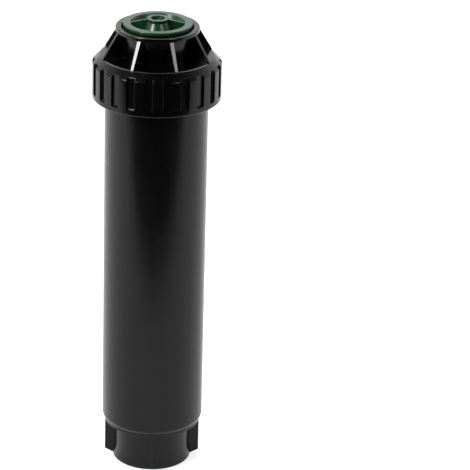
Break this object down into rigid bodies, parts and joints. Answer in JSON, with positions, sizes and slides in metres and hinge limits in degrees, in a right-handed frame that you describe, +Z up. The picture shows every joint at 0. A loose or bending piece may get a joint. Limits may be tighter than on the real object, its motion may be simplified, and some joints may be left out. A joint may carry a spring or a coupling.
{
  "type": "pop up sprinkler",
  "caption": "Pop-up spray sprinkler: a buried tubular case with a female pipe inlet, a screw cap, and a spring-retracted riser with an adjustable-arc nozzle.",
  "frame": {"origin": "the centre of the inlet boss's lower face, which is the lowest face of the sprinkler", "axes": "+Z up along the pop-up axis, -Y towards the front, so that one wrench fin faces forward"},
  "size_m": [0.0422, 0.0422, 0.1573],
  "materials": {
    "case_plastic": "moulded black ABS with a satin skin",
    "cap_plastic": "moulded black ABS, fairly glossy",
    "riser_plastic": "moulded charcoal acetal, smooth satin",
    "collar_black": "moulded black acetal with a fine knurl",
    "nozzle_green": "moulded dark green acetal, satin gloss",
    "filter_plastic": "moulded dark grey polyethylene",
    "filter_mesh": "woven polyester screen",
    "seal_rubber": "moulded black rubber",
    "stainless": "drawn stainless steel"
  },
  "bodies": {
    "case": {"body_case": "case_plastic", "cap": "cap_plastic", "wiper_seal": "seal_rubber", "seal_retainer": "riser_plastic", "retraction_spring": "stainless"},
    "carriage": {"ratchet_ring": "riser_plastic"},
    "riser": {"riser_stem": "riser_plastic", "riser_base_seal": "seal_rubber", "base_seal_clip": "riser_plastic", "filter_collar": "filter_plastic", "filter_basket": "filter_plastic", "filter_mesh": "filter_mesh", "nozzle_gasket": "seal_rubber", "nozzle_base": "nozzle_green", "arc_seal": "seal_rubber", "nozzle_deflector": "nozzle_green", "screw_o_ring": "seal_rubber"},
    "arc": {"arc_collar": "collar_black"},
    "throttle": {"throttle_plug": "filter_plastic"},
    "screw": {"radius_screw": "stainless"}
  },
  "joints": [
    {"name": "pop_up", "type": "slide", "parent": "case", "child": "carriage", "axis": [0, 0, 1], "range_m": [0, 0.11], "stiffness_N_per_m": 83, "springref_m": -0.1, "deforming": ["retraction_spring"]},
    {"name": "riser_turn", "type": "hinge", "parent": "carriage", "child": "riser", "pos_m": [0, 0, 0.02], "axis": [0, 0, 1], "continuous": true},
    {"name": "arc_turn", "type": "hinge", "parent": "riser", "child": "arc", "pos_m": [0, 0, 0.144], "axis": [0, 0, 1], "range_deg": [0, 330]},
    {"name": "throttle_slide", "type": "slide", "parent": "riser", "child": "throttle", "axis": [0, 0, -1], "range_m": [0, 0.002]},
    {"name": "radius_turn", "type": "hinge", "parent": "throttle", "child": "screw", "pos_m": [0, 0, 0.145], "axis": [0, 0, -1], "range_deg": [0, 1440]}
  ],
  "couplings": [
    {"joint": "radius_turn", "follows": "throttle_slide", "rad_per_m": 12566}
  ]
}
